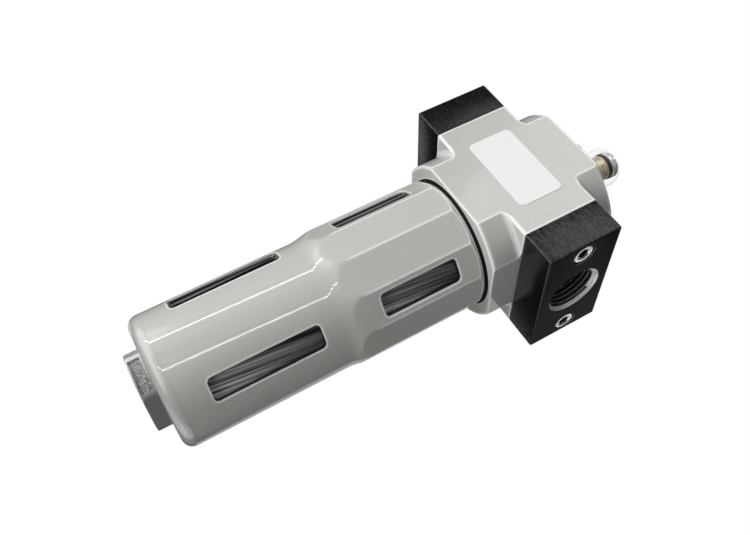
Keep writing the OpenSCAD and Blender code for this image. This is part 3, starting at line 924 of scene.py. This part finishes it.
def portPlate(name, node, side, settings):
    lowCorner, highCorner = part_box(node)
    size = highCorner - lowCorner
    thickness = size.x / mm
    deselectAll()
    bpy.ops.mesh.primitive_cube_add(size=1.0, location=(0, 0, 0))
    plate = startPiece(name)
    plate.scale = (size.z, size.y, size.x)
    plate.location.z = 0.5 * thickness * mm
    applyPlace(plate)
    applyModifier(plate, "BEVEL", width=settings["edge"] * mm, segments=3)
    # the plate lies flat here with its mouth upwards, and is turned sideways at the end
    mouth = thickness
    low, high = -settings["overshoot"], mouth + settings["overshoot"]
    combine(plate, threadTap("tap", settings, low, high), "DIFFERENCE")
    sinkFloor = mouth - settings["sinkDepth"]
    sink = [(0, high), (settings["sinkRadius"], high), (settings["sinkRadius"], mouth),
            (settings["portRadius"], sinkFloor), (0, sinkFloor)]
    combine(plate, turnedPiece("sink", sink, 96), "DIFFERENCE")
    seat = mouth - settings["sinkHoleDepth"]
    hole = [(0, low), (settings["screwHole"], low), (settings["screwHole"], seat),
            (settings["sinkHole"], seat), (settings["sinkHole"], high), (0, high)]
    for way in (-1, 1):
        cutter = turnedPiece("screwHole", hole, 48)
        movePiece(cutter, Matrix.Translation((0, way * settings["screwPlace"] * mm, 0)))
        combine(plate, cutter, "DIFFERENCE")
    inner = lowCorner.x if side > 0 else highCorner.x
    turn = Matrix.Rotation(math.radians(90.0 * side), 4, "Y")
    movePiece(plate, Matrix.Translation((inner, 0, 0)) @ turn)
    smoothPiece(plate, 30.0)
    return plate


def bareMachinedFaces(plate, settings):
    # the cone takes finish 1, the thread's crests 2 and its roots 3
    corners = plate.data.vertices
    reach = max(abs(corner.co.x) for corner in corners) / mm
    crestLimit = settings["portRadius"] + settings["crestEdge"]
    for face in plate.data.polygons:
        radius = max(math.hypot(corners[i].co.y, corners[i].co.z) / mm for i in face.vertices)
        if radius < settings["sinkRadius"] + settings["bareEdge"]:
            deep = reach - abs(face.center.x) / mm
            cone = deep < settings["sinkDepth"] and radius > crestLimit
            face.material_index = 1 if cone else 2 if radius < crestLimit else 3


for plateName, node, side in (("outletPlateCast", "outlet_plate", 1), ("inletPlateCast", "inlet_plate", -1)):
    plate = portPlate(plateName, node, side, plateSettings)
    setFinish(plate, blackMetal, metals["turnedFace"], metals["threadSteel"], metals["threadShade"])
    bareMachinedFaces(plate, plateSettings)
    ridePiece(plate, "housing", node)
print("port plates made")


# Plate screws

screwSettings = {
    "headRadius": 4.25,
    "headHeight": 5.0,
    "shank": 2.5,
    "length": 19.2,
    "point": 0.5,
    "chamfer": 0.45,
    "mouth": 2.75,
    "mouthFloor": 2.35,
    "mouthDepth": 0.35,
    "socket": 4.0,
    "socketDepth": 2.5,
    "blackRadius": 2.34,
    "blackDepths": (0.4, 3.0),
    "place": 21.8,
    "headSeat": 37.2,
    "turn": 20.0,
    "sideTurn": 7.0,
}


def plateScrew(name, settings):
    # the head looks up, its seat is at height 0
    top = settings["headHeight"]
    end = -settings["length"]
    chamfer = settings["chamfer"]
    section = [(0, end), (settings["shank"] - settings["point"], end),
               (settings["shank"], end + settings["point"]), (settings["shank"], 0),
               (settings["headRadius"], 0), (settings["headRadius"], top - chamfer)]
    section += arc((settings["headRadius"] - chamfer, top - chamfer), chamfer, 15, 90, 4)
    mouth = top - settings["mouthDepth"]
    section += [(settings["mouth"], top), (settings["mouthFloor"], mouth), (0, mouth)]
    screw = turnedPiece(name, section, 48)
    depth = settings["socketDepth"]
    cutSocket(screw, "socketCutter", settings["socket"], mouth - depth, 2 * depth)
    smoothPiece(screw, 30.0)
    setFinish(screw, metals["brightSteel"], metals["paintedRecessShade"])
    # painted shade: the inside of the hexagon socket takes the dark recess finish
    shallow, deep = settings["blackDepths"]
    paintFaces(screw, 1, lambda face: math.hypot(face.center.x, face.center.y) < settings["blackRadius"] * mm
               and (top - deep) * mm < face.center.z < (top - shallow) * mm)
    return screw


def placeScrews(settings):
    first = plateScrew("plateScrewSet", settings)
    copies = []
    for side in (-1, 1):
        for way in (-1, 1):
            screw = copyPiece(first, "plateScrewCopy")
            turn = Matrix.Rotation(math.radians(90.0 * side), 4, "Y")
            spin = math.radians(settings["turn"] * way + settings["sideTurn"] * side)
            seat = Matrix.Translation((side * settings["headSeat"] * mm, way * settings["place"] * mm, 0))
            movePiece(screw, seat @ turn @ Matrix.Rotation(spin, 4, "Z"))
            copies.append(screw)
    bpy.data.objects.remove(first)
    screws = joinPieces(copies[0], copies[1:])
    screws.name = "plateScrewSet"
    return screws


ridePiece(placeScrews(screwSettings), "housing", "plate_screws")
print("plate screws made")


# Regulating screw with a crossed slot, and the turned drip bushing

knobSettings = {
    "section": [
        (0, 37.8), (0.25, 37.8), (1.0, 39.6), (1.0, 41.3), (3.0, 41.3), (3.4, 41.7), (3.4, 49.0),
        (5.25, 49.0), (5.5, 49.25), (5.5, 51.1), (5.35, 51.45), (4.75, 52.0), (0, 52.0),
    ],
    "slotWidth": 1.3,
    "slotLength": 20.0,
    "slotHeight": 4.0,
    "slotFloor": 50.5,
    "slotTurn": -74.0,
    "top": 52.0,
}


def regulatingKnob(name, settings):
    knob = turnedPiece(name, settings["section"])
    height = settings["slotHeight"]
    for turn in (settings["slotTurn"], settings["slotTurn"] + 90.0):
        deselectAll()
        middle = (settings["slotFloor"] + 0.5 * height) * mm
        bpy.ops.mesh.primitive_cube_add(size=1.0, location=(0, 0, middle),
                                        rotation=(0, 0, math.radians(turn)))
        slot = startPiece("slotCutter")
        slot.scale = (settings["slotLength"] * mm, settings["slotWidth"] * mm, height * mm)
        applyPlace(slot)
        combine(knob, slot, "DIFFERENCE")
    smoothPiece(knob, 30.0)
    setFinish(knob, metals["polishedHead"], metals["paintedRecessShade"])
    floor, top = settings["slotFloor"] * mm, settings["top"] * mm

    def inSlot(face):
        # the slot's floor, and its walls, which look across and not outwards or up
        outwards = Vector((face.center.x, face.center.y, 0)).normalized()
        wall = face.normal.dot(outwards) < 0.6 and face.normal.z < 0.3
        between = floor - 0.1 * mm < face.center.z < top - 0.05 * mm
        return between and wall or abs(face.center.z - floor) < 0.01 * mm

    # painted shade: the slot's floor and walls take the dark recess finish
    paintFaces(knob, 1, inSlot)
    return knob


bushingSettings = {
    "section": [
        (0.5, 33.3), (1.1, 33.3), (2.2, 35.8), (4.8, 35.8), (5.1, 36.1), (5.1, 42.6), (4.85, 42.8),
        (4.85, 43.3), (5.1, 43.5), (5.1, 46.3), (4.85, 46.5), (4.85, 46.8), (5.1, 46.9), (5.05, 47.3),
        (3.45, 47.3), (3.45, 41.0), (2.0, 41.0), (2.0, 38.4), (0.5, 38.4), (0.5, 33.3),
    ],
    "tubeHole": 1.15,
    "tubePlace": 3.6,
    "tubeHeights": (30.0, 37.3),
}


def dripBushing(name, settings):
    bushing = turnedPiece(name, settings["section"])
    low, high = settings["tubeHeights"]
    hole = [(0, low), (settings["tubeHole"], low), (settings["tubeHole"], high), (0, high)]
    cutter = turnedPiece("tubeCutter", hole, 32)
    movePiece(cutter, Matrix.Translation((0, settings["tubePlace"] * mm, 0)))
    combine(bushing, cutter, "DIFFERENCE")
    smoothPiece(bushing, 30.0)
    setFinish(bushing, metals["turnedBrass"])
    return bushing


ridePiece(regulatingKnob("regulatingKnob", knobSettings), "regulator", "regulating_screw")
ridePiece(dripBushing("dripBushingTurned", bushingSettings), "housing", "drip_bushing")
print("regulating screw and drip bushing made")


# Filler plug with a cut thread and a hexagon socket

plugSettings = {
    "thread": {"portRadius": 3.4, "threadDepth": 0.55, "pitch": 1.25},
    "threadHeights": (19.2, 28.1),
    "tip": [(0, 17.2), (3.2, 17.2), (3.2, 19.2), (3.95, 19.95), (3.95, 28.7), (0, 28.7)],
    "head": [(0, 27.7), (4.75, 27.7), (5.0, 27.95), (5.0, 31.1), (4.85, 31.45), (4.4, 31.7),
             (3.1, 31.7), (2.95, 31.55), (0, 31.55)],
    "socket": 5.0,
    "socketFloor": 29.05,
    "socketCut": 6.0,
    "place": -16.5,
}


def fillerPlug(name, settings):
    plug = threadTap(name, settings["thread"], *settings["threadHeights"])
    combine(plug, turnedPiece("plugTip", settings["tip"]), "INTERSECT")
    combine(plug, turnedPiece("plugHead", settings["head"]), "UNION")
    cutSocket(plug, "plugSocketCutter", settings["socket"], settings["socketFloor"], settings["socketCut"])
    movePiece(plug, Matrix.Translation((0, settings["place"] * mm, 0)))
    smoothPiece(plug, 30.0)
    setFinish(plug, metals["nickelPlate"])
    return plug


ridePiece(fillerPlug("fillerPlugCut", plugSettings), "filler", "filler_plug")
print("filler plug made")


# Camera, lights and floor come in last

addCamera(cameraSettings)
for name, (turn, rise, power, width) in lampSettings["lamps"].items():
    addLamp(name, turn, rise, power, width, lampSettings)
for name, (start, end, power) in stripSettings["strips"].items():
    addStrip(name, start, end, power, stripSettings)
lightWorld(stageSettings["worldLight"])
setFinish(addFloor(stageSettings), makeFloorPaint())
bpy.context.scene.view_settings.view_transform = "Standard"
bpy.context.scene.cycles.transparent_max_bounces = 24
print("camera, lights and floor set")
